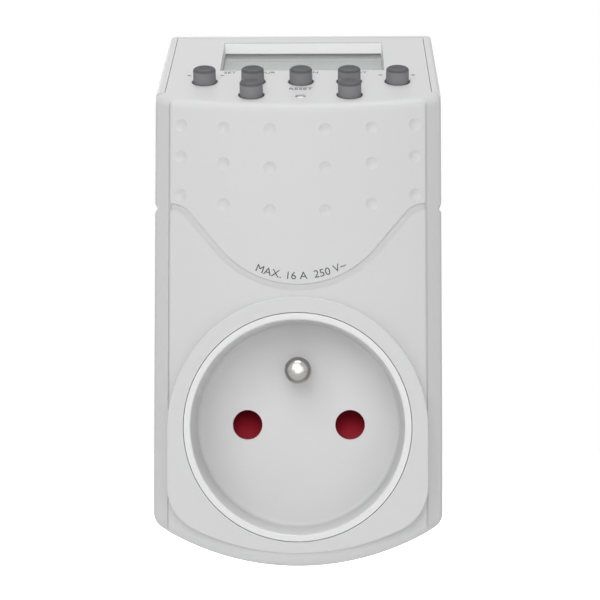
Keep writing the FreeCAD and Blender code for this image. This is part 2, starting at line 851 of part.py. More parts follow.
def make_back_shell():
    """Back shell: the tub behind the front cover and its cheeks beside the panel."""
    front = y_part + part_gap
    block = outline_prism(shell_setback, front, y_rear).common(under_panel(0.0))
    plane = under_panel(0.0)
    top_faces = [f for f in plane.Faces if abs(f.normalAt(0, 0).z - math.cos(slope)) < 1e-6]
    rear = solid_box((-far, y_rear, -far), (far, y_rear + 1, far))
    rear_faces = [f for f in rear.Faces if abs(f.CenterOfMass.y - y_rear) < 1e-6]
    block = block.makeFillet(rear_top_round, edges_on(block, top_faces[0], rear_faces[0]))
    outline = outline_prism(shell_setback, front - far, y_rear + 1.0)
    sides = Part.Compound([f for f in outline.Faces if abs(f.normalAt(0, 0).y) < 0.5])
    rim = [e for e in edges_on(block, sides) if e.CenterOfMass.y > front + 1e-3]
    rim = [e for e in rim if not (abs(e.BoundBox.ZLength) > 5 and abs(e.BoundBox.YLength) < 1e-6
                                  and e.CenterOfMass.y < y_rear - 1e-3)]
    rim = [e for e in rim if not is_depth_line(e)]
    block = block.makeFillet(shell_round, rim)

    cavity = outline_prism(shell_setback + side_wall, front - far, y_inner_rear).common(under_panel(wall))
    pocket_low = -wall - running_gap
    pocket = solid_box((-panel_half_width, -far, pocket_low), (panel_half_width, panel_length, far))
    shell = block.cut(cavity)
    shell = shell.cut(to_panel(pocket))
    shell = shell.cut(rod(plug_spigot_radius + part_gap, (0, y_inner_rear - 1, 0), (0, y_rear + 1, 0)))

    tubes = []
    for x, z in case_screw_places:
        tubes.append(rod(screw_tube_radius, (x, y_screw_joint + part_gap, z), (x, y_inner_rear + 0.5, z)))
        start = (x, y_inner_rear - screw_seat_floor, z)
        tubes.append(rod(screw_seat_radius, start, (x, y_inner_rear + 0.5, z)))
    tubes = [t.common(outline_prism(shell_setback + tube_clearance, -far, 0)) for t in tubes]
    for x, z in standoff_places():
        tubes.append(rod(standoff_radius, (x, power_board_back, z), (x, y_inner_rear + 0.5, z)))
    shell = shell.fuse(tubes)

    cutters = []
    for x, z in case_screw_places:
        head_seat = y_rear - screw_sink - screw_head
        cutters.append(rod(screw_head_radius + 0.3, (x, head_seat, z), (x, y_rear + 1, z)))
        cutters.append(rod(screw_radius + screw_clearance, (x, y_screw_joint - 1, z), (x, y_rear, z)))
    for x, z in standoff_places():
        cutters.append(rod(standoff_pilot_radius, (x, power_board_back - 1, z), (x, y_inner_rear, z)))
    cutters += [notch_fade(-1), notch_fade(1)]
    for cutter in cutters:
        shell = shell.cut(cutter)
    keep("back_shell", shell)


def is_depth_line(edge):
    """True for a straight edge that runs along the depth at the foot of a side."""
    box = edge.BoundBox
    return box.XLength < 1e-6 and box.ZLength < 1e-6


def standoff_places():
    """Where the power board stands on the back shell, as x and z."""
    side = power_board_half_width - standoff_inset
    top = power_board_top - standoff_inset
    return [(-side, top), (side, top), (0.0, power_board_bottom + standoff_inset)]


def make_socket_cup():
    """Socket cup: the round well with its floor, pin holes and the bosses behind it."""
    r = cup_outer_radius
    back = y_floor_back
    seat = y_crown + wall
    flange = rod(r + cup_flange_width, (0, seat, 0), (0, seat + cup_flange, 0))
    outside = rod(r, (0, y_pad, 0), (0, back, 0)).fuse(flange)
    profile = [(0, -1.0), (cup_mouth_radius + 0.01, -1.0), (cup_mouth_radius, 0.0),
               (cup_floor_radius, cup_depth), (0, cup_depth)]
    well = turned(profile, Vector(0, y_pad, 0), DOWN_THE_DEPTH, {3: cup_floor_round})
    cup = outside.cut(well)
    between = 2 * math.pi * (r + cup_mouth_radius) / 2
    mouth = [e for e in cup.Edges if abs(e.CenterOfMass.y - y_pad) < 1e-6 and e.Length < between]
    cup = cup.makeFillet(cup_mouth_round, mouth)
    bosses = []
    for side in (-1, 1):
        x = side * carrier_screw_spread
        bosses.append(rod(carrier_boss_radius, (x, back - 0.5, carrier_screw_height),
                          (x, y_carrier, carrier_screw_height)))
    cup = cup.fuse(bosses)
    for side in (-1, 1):
        x = side * pin_half_spacing
        cup = cup.cut(rod(socket_hole_radius, (x, y_floor - 1, 0), (x, back + 1, 0)))
        x = side * carrier_screw_spread
        cup = cup.cut(rod(carrier_pilot_radius, (x, back + 0.6, carrier_screw_height),
                          (x, y_carrier + 1, carrier_screw_height)))
    pin_hole = pin_radius - socket_pin_shoulder + running_gap
    cup = cup.cut(rod(pin_hole, (0, y_floor - 1, earth_offset), (0, back + 1, earth_offset)))
    keep("socket_cup", cup)


def make_socket_earth_pin():
    """Earth pin of the socket: a turned pin with a flange behind the cup's floor and a riveted tail."""
    tip = y_floor - socket_pin_rise
    length = y_floor_back - tip
    neck = pin_radius - socket_pin_shoulder
    flange_end = length + socket_pin_flange
    tail_end = length + carrier_drop + carrier_plate + rivet_rise
    profile = [
        (0, 0), (pin_radius, 0), (pin_radius, socket_pin_rise), (neck, socket_pin_rise), (neck, length),
        (socket_pin_flange_radius, length), (socket_pin_flange_radius, flange_end),
        (socket_pin_tail_radius, flange_end), (socket_pin_tail_radius, tail_end), (0, tail_end),
    ]
    pin = turned(profile, Vector(0, tip, earth_offset), DOWN_THE_DEPTH, {1: socket_pin_tip_round})
    keep("socket_earth_pin", pin)


def shutter_frame():
    """The shutter's front and back along the depth."""
    front = y_floor_back + shutter_gap
    return front, front + ramp_depth


def make_shutter():
    """Red shutter: two ramps behind the pin holes, joined by a bridge that sits on its spring."""
    front, back = shutter_frame()
    made = []
    for side in (-1, 1):
        x = side * pin_half_spacing
        foot = [(front, -shutter_half_height), (back, -shutter_half_height),
                (back, shutter_half_height), (back - ramp_top, shutter_half_height),
                (front, -shutter_half_height + shutter_edge)]
        made.append(prism_yz(foot, x - shutter_half_width, x + shutter_half_width))
    bridge_half = pin_half_spacing - shutter_half_width + 0.5
    bridge = solid_box((-bridge_half, back - shutter_bridge, -shutter_half_height), (bridge_half, back, 0.0))
    peg_y = back - shutter_bridge / 2
    peg = rod(spring_radius - spring_wire - peg_clearance, (0, peg_y, -shutter_half_height + 0.5),
              (0, peg_y, -shutter_half_height - peg_length))
    shutter = bridge.fuse(made + [peg])
    keep("shutter", shutter)


def make_shutter_spring():
    """Coil spring under the shutter, closed on its seat and on the bridge."""
    front, back = shutter_frame()
    y = back - shutter_bridge / 2
    bottom = -spring_seat_height + spring_wire + 0.02
    top = -shutter_half_height - spring_wire - 0.02
    rise = top - bottom
    helix = Part.makeHelix(rise / spring_turns, rise, spring_radius)
    profile = Part.Wire(Part.makeCircle(spring_wire, Vector(spring_radius, 0, 0), Vector(0, 1, 0)))
    coil = Part.Wire(helix).makePipeShell([profile], True, True)
    coil.translate(Vector(0, y, bottom))
    keep("shutter_spring", coil)


def make_contact_carrier():
    """Contact carrier: a plate behind the cup with tubes for the contacts, rails and a spring seat."""
    front, back = shutter_frame()
    plate_back = y_carrier + carrier_plate
    root = y_carrier + 0.5
    tube_end = y_sleeve_end - tube_setback
    bore = sleeve_radius + sleeve_clearance
    made = []
    rail_start = pin_half_spacing + shutter_half_width + rail_gap
    for side in (-1, 1):
        x = side * pin_half_spacing
        made.append(rod(bore + tube_wall, (x, root, 0), (x, tube_end, 0)))
        low, high = sorted((side * rail_start, side * (rail_start + rail_width)))
        made.append(solid_box((low, front, -carrier_bottom + rail_foot_gap), (high, root, rail_top)))
    seat_half = spring_seat_half_width
    made.append(solid_box((-seat_half, front, -spring_seat_height - spring_seat),
                          (seat_half, root, -spring_seat_height)))
    carrier = solid_box((-carrier_half_width, y_carrier, -carrier_bottom),
                        (carrier_half_width, plate_back, carrier_top))
    carrier = carrier.fuse(made)
    holes = [(socket_pin_tail_radius + sleeve_clearance, 0.0, earth_offset)]
    for side in (-1, 1):
        x = side * pin_half_spacing
        carrier = carrier.cut(rod(bore, (x, y_carrier - 1, 0), (x, tube_end + 1, 0)))
        holes.append((carrier_screw_hole_radius, side * carrier_screw_spread, carrier_screw_height))
    for radius, x, z in holes:
        carrier = carrier.cut(rod(radius, (x, y_carrier - 1, z), (x, plate_back + 1, z)))
    keep("contact_carrier", carrier)


def make_contacts():
    """Brass contact sleeves behind the pin holes, split along the side, each with a solder tab."""
    start = y_sleeve
    end = y_sleeve_end
    for side, name in ((-1, "left"), (1, "right")):
        x = side * pin_half_spacing
        sleeve = rod(sleeve_radius, (x, start, 0), (x, end, 0))
        tab = solid_box((x - tab_half_width, end - tab_thickness, sleeve_radius - tab_root),
                        (x + tab_half_width, end, tab_top))
        sleeve = sleeve.fuse(tab)
        sleeve = sleeve.cut(rod(sleeve_bore, (x, start - 1, 0), (x, end + 1, 0)))
        half = sleeve_slot / 2
        slot = solid_box((x - half, start - 1, -2 * sleeve_radius), (x + half, end + 1, 0.0))
        keep("contact_sleeve_" + name, sleeve.cut(slot))


def make_line_pins():
    """Solid line pins of the wall plug, each with a flange behind the plug's face and a tail."""
    shank = pin_radius - pin_fit
    shank_end = pin_length + plug_face_wall
    flange_end = shank_end + pin_flange
    tail_end = pin_length - y_inner_rear + pin_tail_rise
    profile = [
        (0, 0), (pin_radius, 0), (pin_radius, pin_length), (shank, pin_length), (shank, shank_end),
        (pin_flange_radius, shank_end), (pin_flange_radius, flange_end),
        (pin_tail_radius, flange_end), (pin_tail_radius, tail_end), (0, tail_end),
    ]
    for side, name in ((-1, "left"), (1, "right")):
        place = Vector(side * pin_half_spacing, pin_length, 0)
        keep("line_pin_" + name, turned(profile, place, TO_THE_FRONT, {1: pin_tip_radius}))


def make_pin_retainer():
    """Round plate inside the plug body that holds the pins' flanges against its face."""
    back = y_retainer - retainer_thickness
    plate = rod(plug_hollow_radius - retainer_clearance, (0, back, 0), (0, y_retainer, 0))
    holes = [(pin_tail_radius + part_gap, side * pin_half_spacing, 0.0) for side in (-1, 1)]
    holes.append((sleeve_radius + part_gap, 0.0, earth_offset))
    for radius, x, z in holes:
        plate = plate.cut(rod(radius, (x, back - 1, z), (x, y_retainer + 1, z)))
    keep("pin_retainer", plate)


def make_earth_clips():
    """Spring clips on the plug body's top and bottom, with a leg each through its wall."""
    clip_top = clip_bed + clip_fit
    blade_top = clip_top + earth_metal
    crown = blade_top + clip_bow
    half = clip_width / 2
    leg_front = clip_leg_back + earth_metal
    blade = [
        (clip_leg_back, clip_top), (clip_leg_back, blade_top), (clip_bow_back, crown),
        (clip_bow_front, crown), (clip_tip, blade_top), (clip_tip, clip_top),
        (clip_bow_front, crown - earth_metal), (clip_bow_back, crown - earth_metal), (leg_front, clip_top),
    ]
    top_reach = earth_offset + sleeve_radius - 0.2
    for side, name, reach, leg_half in (
            (1, "top", top_reach, top_leg_half_width), (-1, "bottom", bottom_leg_reach, half)):
        low, high = sorted((side * reach, side * (clip_top + 0.1)))
        leg = solid_box((-leg_half, clip_leg_back, low), (leg_half, leg_front, high))
        clip = prism_yz([(y, side * z) for y, z in blade], -half, half).fuse(leg)
        if side > 0:
            clip = clip.cut(rod(sleeve_radius + clip_fit, (0, -far, earth_offset), (0, 0, earth_offset)))
        keep("earth_clip_" + name, clip)


def make_earth_parts():
    """Earth path inside: the female sleeve, the bridge plate and the strap to the socket's pin."""
    sleeve = rod(sleeve_radius, (0, clip_leg_back, earth_offset), (0, y_pin_flange, earth_offset))
    sleeve = sleeve.cut(rod(earth_hole_radius, (0, clip_leg_back - 1, earth_offset), (0, 0, earth_offset)))
    half = earth_slot_width / 2
    slot_start = clip_leg_back + earth_slot_start
    sleeve = sleeve.cut(solid_box((-half, slot_start, 0), (half, 0, earth_offset)))
    keep("earth_sleeve", sleeve)

    bridge_back = clip_leg_back - earth_metal
    half = bridge_half_width
    bridge = solid_box((-half, bridge_back, -bridge_bottom), (half, clip_leg_back, bridge_top))
    bridge = bridge.cut(rod(bridge_hole_radius, (0, -far, 0), (0, 0, 0)))
    keep("earth_bridge", bridge)

    tab_front = y_carrier + carrier_plate + part_gap
    tab_half = strap_tab_half_width
    front_tab = solid_box((-tab_half, tab_front, strap_low), (tab_half, tab_front + earth_metal, strap_top))
    tail_hole = socket_pin_tail_radius + clip_fit
    front_tab = front_tab.cut(rod(tail_hole, (0, -far, earth_offset), (0, 0, earth_offset)))
    half = strap_half_width
    bar = solid_box((-half, tab_front, strap_top - earth_metal), (half, bridge_back, strap_top))
    rear_tab = solid_box((-half, bridge_back - earth_metal, strap_low), (half, bridge_back, strap_top))
    keep("earth_strap", front_tab.fuse([bar, rear_tab]))


def make_neutral_link():
    """Bent brass strip from the right pin's tail to the right contact's tab."""
    low_x = pin_half_spacing - link_half_width
    high_x = pin_half_spacing + link_half_width
    back = y_inner_rear - pin_tail_gap
    lying = solid_box((low_x, y_sleeve_end, link_low), (high_x, back, link_low + link_thickness))
    standing = solid_box((low_x, y_sleeve_end, link_low), (high_x, y_sleeve_end + link_thickness, link_top))
    keep("neutral_link", lying.fuse(standing))


def make_power_board():
    """Power board on its standoffs, notched round the screw tubes, and its screws."""
    front = power_board_front
    board = solid_box((-power_board_half_width, front, power_board_bottom),
                      (power_board_half_width, power_board_back, power_board_top))
    holes = [(screw_seat_radius + tube_clearance, side * screw_spread, screw_high) for side in (-1, 1)]
    holes += [(board_screw_hole_radius, x, z) for x, z in standoff_places()]
    for radius, x, z in holes:
        board = board.cut(rod(radius, (x, front - 1, z), (x, 0, z)))
    keep("power_board", board)

    head = board_screw_head
    shank = board_screw_shank_radius
    profile = [(0, 0), (board_screw_head_radius, 0), (board_screw_head_radius, head), (shank, head),
               (shank, board_screw_length - 0.2), (0, board_screw_length)]
    screws = []
    for x, z in standoff_places():
        screws.append(turned(profile, Vector(x, front - head, z), DOWN_THE_DEPTH, {1: head / 2}))
    keep("power_board_screws", Part.Compound(screws))


def moulded_block(low, high, edge_round):
    """A potted part on the power board, with all its edges rounded except those on the board."""
    block = solid_box(low, high)
    return block.makeFillet(edge_round, [e for e in block.Edges if e.BoundBox.YMax < high[1] - 1e-3])


def make_board_parts():
    """The parts soldered to the power board: relay, capacitors, varistor, fuse and diodes."""
    front = power_board_front
    low = (-relay_left, front - relay_depth, relay_bottom)
    keep("relay", moulded_block(low, (relay_right, front, relay_top), relay_round))
    low = (-film_half_width, front - film_depth, film_bottom)
    keep("film_capacitor", moulded_block(low, (film_half_width, front, film_top), film_round))

    groove = can_groove_height
    waist = can_radius - can_groove_depth
    profile = [(0, 0), (can_radius, 0), (can_radius, groove - can_edge_round), (waist, groove),
               (can_radius, groove + can_edge_round), (can_radius, can_height), (0, can_height)]
    can = turned(profile, Vector(can_x, front, can_z), TO_THE_FRONT, {1: can_edge_round, 5: can_edge_round})
    keep("electrolytic_capacitor", can)

    axis = front - varistor_lift - varistor_radius
    half = varistor_thickness / 2
    disc = rod(varistor_radius, (varistor_x - half, axis, varistor_z), (varistor_x + half, axis, varistor_z))
    legs = []
    for side in (-1, 1):
        x = varistor_x + side * varistor_leg_x
        z = varistor_z + side * varistor_leg_z
        legs.append(rod(varistor_leg_radius, (x, front, z), (x, axis + varistor_radius / 2, z)))
    keep("varistor", disc.fuse(legs))

    axis = front - lead_lift - fuse_radius
    half = fuse_length / 2
    fuse = rod(fuse_radius, (fuse_x - half, axis, fuse_z), (fuse_x + half, axis, fuse_z))
    keep("fuse", fuse.fuse(wire_feet(fuse_x, half, axis, fuse_z, lead_thickness)))

    axis = front - lead_lift - diode_radius
    half = diode_half_length
    diodes = []
    for x in diode_places:
        body = rod(diode_radius, (x - half, axis, diode_z), (x + half, axis, diode_z))
        diodes.append(body.fuse(wire_feet(x, half, axis, diode_z, diode_lead_thickness)))
    keep("diodes", Part.Compound(diodes))


def wire_feet(x, half_length, axis, z, thickness):
    """The two bent leads at the ends of a part that lies on the power board."""
    feet = []
    for side in (-1, 1):
        middle = x + side * (half_length + thickness / 2 - 0.1)
        feet.append(solid_box((middle - thickness / 2, axis - thickness / 2, z - thickness / 2),
                              (middle + thickness / 2, power_board_front, z + thickness / 2)))
    return feet


def rounded_path(points, radius):
    """A wire along corner points, with a round of the given radius at each turn."""
    nodes = [Vector(*p) for p in points]
    edges = []
    start = nodes[0]
    for before, corner, after in zip(nodes, nodes[1:], nodes[2:]):
        a, middle, b = corner_round(before, corner, after, radius)
        edges.append(Part.LineSegment(start, a).toShape())
        edges.append(Part.Arc(a, middle, b).toShape())
        start = b
    edges.append(Part.LineSegment(start, nodes[-1]).toShape())
    return Part.Wire(edges)


def wire_to_board(x, lane, low):
    """An insulated wire that rises along a lane, slants forward to the power board and ends on it."""
    on_board = power_board_front - wire_radius
    points = [(x, lane, low), (x, lane, wire_turn_height), (x, on_board, wire_board_height)]
    points.append((x, on_board, wire_end_height))
    path = rounded_path(points, wire_bend)
    profile = Part.Wire(Part.makeCircle(wire_radius, Vector(*points[0]), Vector(0, 0, 1)))
    return path.makePipeShell([profile], True, False)


def make_wires():
    """Insulated leads from the pins and contacts to the power board, and the ribbon to the logic board."""
    pin_lane = y_inner_rear - wire_radius - pin_tail_gap
    tab_lane = y_sleeve_end - tab_thickness / 2
    foot = tab_top + running_gap
    keep("live_wire", wire_to_board(-pin_half_spacing - pin_tail_radius - wire_radius, pin_lane, -1.0))
    keep("switched_wire", wire_to_board(-pin_half_spacing, tab_lane, foot))
    keep("neutral_wire", wire_to_board(pin_half_spacing, tab_lane + link_thickness, foot))

    half = ribbon_thickness / 2
    under = board_drop + logic_board_thickness
    end_y = y_pad + ribbon_end_v * math.cos(slope) + under * math.sin(slope)
    end_z = panel_start_height + ribbon_end_v * math.sin(slope) - under * math.cos(slope)
    lane = power_board_front - half
    bend_z = end_z - (lane - end_y) / math.tan(slope)
    points = [(ribbon_x, lane, ribbon_low), (ribbon_x, lane, bend_z), (ribbon_x, end_y, end_z)]
    path = rounded_path(points, ribbon_bend)
    left = ribbon_x - ribbon_width / 2
    right = ribbon_x + ribbon_width / 2
    ring = [Vector(left, lane - half, ribbon_low), Vector(right, lane - half, ribbon_low),
            Vector(right, lane + half, ribbon_low), Vector(left, lane + half, ribbon_low)]
    keep("ribbon_cable", path.makePipeShell([Part.makePolygon(ring + ring[:1])], True, False))


def make_display():
    """Display stack under the window: clear lens, liquid crystal cell, rubber connectors and their frame."""
    mid_v = (window_front + window_back) / 2 - lcd_shift
    half_u = lcd_width / 2
    half_v = lcd_height / 2

    def slab(grow, n_low, n_high):
        """A block as wide as the cell, grown on all four sides, between two heights."""
        return solid_box((display_offset - half_u - grow, mid_v - half_v - grow, n_low),
                         (display_offset + half_u + grow, mid_v + half_v + grow, n_high))

    lens_low = -wall - lens_thickness
    lcd_high = lens_low - part_gap
    lcd_low = lcd_high - lcd_thickness
    keep("display_lens", to_panel(slab(0.0, lens_low, -wall)))
    keep("lcd_glass", to_panel(slab(0.0, lcd_low, lcd_high)))
    frame = slab(frame_clearance + frame_wall, -board_drop, -wall)
    frame = frame.cut(slab(frame_clearance, -board_drop - 1, -wall + 1))
    keep("lcd_frame", to_panel(frame))
    strips = []
    for side in (-1, 1):
        low_v, high_v = sorted((side * (half_v - zebra_inset - zebra_width), side * (half_v - zebra_inset)))
        reach = half_u - zebra_end_gap
        strips.append(to_panel(solid_box((display_offset - reach, mid_v + low_v, -board_drop),
                                         (display_offset + reach, mid_v + high_v, lcd_low))))
    keep("zebra_strips", Part.Compound(strips))


def make_button(u, v):
    """One push button: a capped shaft with a flange under the panel and a foot on its rubber dome."""
    low = -wall - running_gap - button_flange
    foot = low - button_foot
    profile = [(0, foot), (button_foot_radius, foot), (button_foot_radius, low), (button_flange_radius, low),
               (button_flange_radius, low + button_flange), (button_radius, low + button_flange),
               (button_radius, button_rise), (0, button_rise)]
    up = Vector(0, 0, 1)
    button = turned(profile, Vector(u, v, 0), up, {6: button_top_round})
    ball = shallow_ball(button_radius - button_dish_rim, button_dish_depth)
    dish = Part.makeSphere(ball, Vector(u, v, button_rise - button_dish_depth + ball), up)
    return to_panel(button.cut(dish))


def make_buttons():
    """The seven push buttons and the reset plunger under its pinhole."""
    for name, u, v in button_places():
        keep(name, make_button(u, v))
    low = -wall - running_gap - button_flange
    foot = low - button_foot
    profile = [(0, foot), (reset_foot_radius, foot), (reset_foot_radius, low), (reset_flange_radius, low),
               (reset_flange_radius, low + button_flange), (reset_radius, low + button_flange),
               (reset_radius, -reset_sink), (0, -reset_sink)]
    place = Vector(button_offset, reset_row, 0)
    keep("reset_plunger", to_panel(turned(profile, place, Vector(0, 0, 1), {6: reset_round})))


def make_keypad():
    """Rubber keypad mat with a hollow dome under each button, and the carbon pills inside the domes."""
    base = -board_drop
    top = -wall - running_gap - button_flange - button_foot - running_gap
    margin = dome_base_radius + mat_margin
    rear_reach = 2 * button_pitch + margin
    front_reach = button_pitch + margin
    mat = solid_box((button_offset - rear_reach, rear_row - margin, base),
                    (button_offset + rear_reach, rear_row + margin, base + mat_thickness))
    mat = mat.fuse(solid_box((button_offset - front_reach, front_row - margin, base),
                             (button_offset + front_reach, rear_row, base + mat_thickness)))
    places = [(u, v) for name, u, v in button_places()] + [(button_offset, reset_row)]
    pills = []
    for u, v in places:
        outer = turned([(0, base), (dome_base_radius, base), (dome_base_radius, base + mat_thickness),
                        (dome_top_radius, top - dome_lip), (dome_top_radius, top), (0, top)],
                       Vector(u, v, 0), Vector(0, 0, 1))
        mat = mat.fuse(outer)
    for u, v in places:
        roof = top - dome_roof
        inner_base = dome_base_radius - dome_wall
        inner = turned([(0, base - 1), (inner_base, base - 1), (inner_base, base + dome_floor),
                        (dome_top_radius - dome_wall, roof), (0, roof)],
                       Vector(u, v, 0), Vector(0, 0, 1))
        mat = mat.cut(inner)
        pills.append(to_panel(rod(pill_radius, (u, v, roof - pill_height), (u, v, roof))))
    keep("keypad_mat", to_panel(mat))
    keep("contact_pills", Part.Compound(pills))


def make_logic_board():
    """Logic board under the panel, with its chip, its crystal and its screws."""
    high = -board_drop
    low = high - logic_board_thickness
    up = Vector(0, 0, 1)
    half = logic_board_half_width
    board = solid_box((-half, logic_board_front, low), (half, logic_board_back, high))
    for u, v in post_places():
        board = board.cut(rod(post_hole_radius, (u, v, low - 1), (u, v, high + 1)))
    keep("logic_board", to_panel(board))

    ball = shallow_ball(chip_radius, chip_height)
    blob = Part.makeSphere(ball, Vector(chip_u, chip_v, low - chip_height + ball))
    below = solid_box((chip_u - ball, chip_v - ball, low - ball), (chip_u + ball, chip_v + ball, low))
    keep("chip_blob", to_panel(blob.common(below)))
    axis = low - crystal_radius
    can = rod(crystal_radius, (crystal_u, crystal_v, axis), (crystal_u, crystal_v + crystal_length, axis))
    keep("crystal", to_panel(can))

    head = logic_screw_head
    shank = logic_screw_shank_radius
    profile = [(0, 0), (logic_screw_head_radius, 0), (logic_screw_head_radius, head), (shank, head),
               (shank, logic_screw_length - 0.3), (0, logic_screw_length)]
    screws = []
    for u, v in post_places():
        screws.append(to_panel(turned(profile, Vector(u, v, low - head), up, {1: head / 2})))
    keep("logic_board_screws", Part.Compound(screws))


def make_battery():
    """Standby button cell under the logic board, between its two welded tabs."""
    board_low = -board_drop - logic_board_thickness
    cell_top = board_low - cell_tab_thickness
    cell_low = cell_top - cell_height
    profile = [(0, 0), (cell_radius, 0), (cell_radius, cell_height), (0, cell_height)]
    cell = turned(profile, Vector(cell_u, cell_v, cell_low), Vector(0, 0, 1), {1: cell_round, 2: cell_round})
    keep("backup_battery", to_panel(cell))

    left = cell_u - cell_tab_half_width
    right = cell_u + cell_tab_half_width
    front = cell_v - cell_leg_reach
    back = cell_v + cell_leg_reach
    tab_low = cell_low - cell_tab_thickness
    upper = solid_box((left, front, cell_top), (right, cell_v, board_low))
    lower = solid_box((left, cell_v, tab_low), (right, back, cell_low))
    leg = solid_box((left, back - cell_leg_thickness, tab_low), (right, back, board_low))
    keep("battery_tabs", Part.Compound([to_panel(upper), to_panel(lower.fuse(leg))]))


def make_case_screws():
    """Four case screws from the back, and two that hold the contact carrier to the cup."""
    screws = []
    cross = (screw_slot_half, screw_slot_width / 2)
    for x, z in case_screw_places:
        top = y_rear - screw_sink
        length = top - (y_screw_joint - screw_bite + 1.0)
        profile = [(0, 0), (screw_head_radius, 0), (screw_head_radius, screw_head),
                   (screw_radius, screw_head), (screw_radius, length - 0.8), (0, length)]
        screw = turned(profile, Vector(x, top, z), TO_THE_FRONT, {1: screw_head / 4})
        for half_x, half_z in (cross, cross[::-1]):
            low = (x - half_x, top - screw_slot_depth, z - half_z)
            screw = screw.cut(solid_box(low, (x + half_x, top + 1, z + half_z)))
        screws.append(screw)
    keep("case_screws", Part.Compound(screws))
    small = []
    head = carrier_screw_head
    shank = carrier_pilot_radius - running_gap
    profile = [(0, 0), (carrier_screw_head_radius, 0), (carrier_screw_head_radius, head), (shank, head),
               (shank, carrier_screw_length - 0.5), (0, carrier_screw_length)]
    for side in (-1, 1):
        place = Vector(side * carrier_screw_spread, y_carrier + carrier_plate + head, carrier_screw_height)
        small.append(turned(profile, place, TO_THE_FRONT, {1: head / 2}))
    keep("carrier_screws", Part.Compound(small))


def write_parts():
    """Writes one STEP file for each node."""
    os.makedirs("parts", exist_ok=True)
    for name, shape in parts.items():
        shape.exportStep("parts/%s.step" % name)


make_front_cover()
make_back_shell()
make_plug_body()
make_socket_cup()
make_socket_earth_pin()
make_shutter()
make_shutter_spring()
make_contact_carrier()
make_contacts()
make_line_pins()
make_pin_retainer()
make_earth_clips()
make_earth_parts()
make_neutral_link()
make_power_board()
make_board_parts()
make_wires()
make_display()
make_buttons()
make_keypad()
make_logic_board()
make_battery()
make_case_screws()
write_parts()
for node, made in sorted(parts.items()):
    print("%-24s solids %d valid %s volume %.1f" % (node, len(made.Solids), made.isValid(), made.Volume))
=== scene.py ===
import math

import bpy
from mathutils import Matrix, Vector


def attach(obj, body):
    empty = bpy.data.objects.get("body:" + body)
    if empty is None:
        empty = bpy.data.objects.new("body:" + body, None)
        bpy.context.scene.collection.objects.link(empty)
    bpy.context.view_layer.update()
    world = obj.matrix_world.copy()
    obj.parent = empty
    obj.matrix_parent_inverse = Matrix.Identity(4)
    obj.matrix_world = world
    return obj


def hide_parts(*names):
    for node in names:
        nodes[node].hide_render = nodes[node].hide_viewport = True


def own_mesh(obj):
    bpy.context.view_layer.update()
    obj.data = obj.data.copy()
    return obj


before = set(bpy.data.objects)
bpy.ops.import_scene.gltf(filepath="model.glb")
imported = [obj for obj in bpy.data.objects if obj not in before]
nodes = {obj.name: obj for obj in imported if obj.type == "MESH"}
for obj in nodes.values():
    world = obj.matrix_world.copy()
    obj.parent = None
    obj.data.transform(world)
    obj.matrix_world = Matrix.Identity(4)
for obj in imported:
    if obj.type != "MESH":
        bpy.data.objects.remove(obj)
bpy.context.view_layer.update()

millimetre = 0.001


# Casing: the front cover and the back shell are injection moulded in light grey ABS with a fine
# spark texture on the outside, and four screws from the back hold them together.
def new_material(name):
    """A new material, with its node tree, its shader and each point's place on the object."""
    material = bpy.data.materials.new(name)
    material.use_nodes = True
    tree = material.node_tree
    place = tree.nodes.new("ShaderNodeTexCoord").outputs["Object"]
    return material, tree, tree.nodes["Principled BSDF"], place


def add_noise(tree, place, scale, detail=2.0):
    """A cloudy pattern: a value between 0 and 1 at each point."""
    noise = tree.nodes.new("ShaderNodeTexNoise")
    noise.inputs["Scale"].default_value = scale
    noise.inputs["Detail"].default_value = detail
    tree.links.new(place, noise.inputs["Vector"])
    return noise.outputs["Fac"]


def vary_colour(tree, shader, pattern, colour, darkest):
    """Lets a colour darken down to a share of itself where the pattern is low."""
    tint = tree.nodes.new("ShaderNodeMix")
    tint.data_type = "RGBA"
    tint.inputs["A"].default_value = (*[c * darkest for c in colour], 1.0)
    tint.inputs["B"].default_value = (*colour, 1.0)
    tree.links.new(pattern, tint.inputs["Factor"])
    tree.links.new(tint.outputs["Result"], shader.inputs["Base Color"])


def vary_roughness(tree, shader, pattern, least, most):
    """Lets the roughness follow a pattern between two values."""
    gloss = tree.nodes.new("ShaderNodeMapRange")
    gloss.inputs["To Min"].default_value = least
    gloss.inputs["To Max"].default_value = most
    tree.links.new(pattern, gloss.inputs["Value"])
    tree.links.new(gloss.outputs["Result"], shader.inputs["Roughness"])


def raise_grain(tree, shader, pattern, strength, depth):
    """Raises a pattern from the surface by a small depth."""
    bump = tree.nodes.new("ShaderNodeBump")
    bump.inputs["Strength"].default_value = strength
    bump.inputs["Distance"].default_value = depth
    tree.links.new(pattern, bump.inputs["Height"])
    tree.links.new(bump.outputs["Normal"], shader.inputs["Normal"])


def moulded_plastic(name, colour, roughness, grain_size, grain_depth, shade=0.03, flow=60.0):
    """Moulded plastic: fine grain from the mould, broad sheen changes and faint flow shading."""
    gloss_spread = 0.05
    grain_strength = 0.5
    material, tree, shader, place = new_material(name)
    shader.inputs["IOR"].default_value = 1.5
    broad = add_noise(tree, place, flow, detail=3.0)
    vary_colour(tree, shader, broad, colour, 1.0 - shade)
    vary_roughness(tree, shader, broad, roughness - gloss_spread, roughness + gloss_spread)
    grain = add_noise(tree, place, 1.0 / grain_size)
    raise_grain(tree, shader, grain, grain_strength, grain_depth)
    return material


def finish_node(node, material):
    """Gives one construction node its finish."""
    mesh = nodes[node].data
    mesh.materials.clear()
    mesh.materials.append(material)


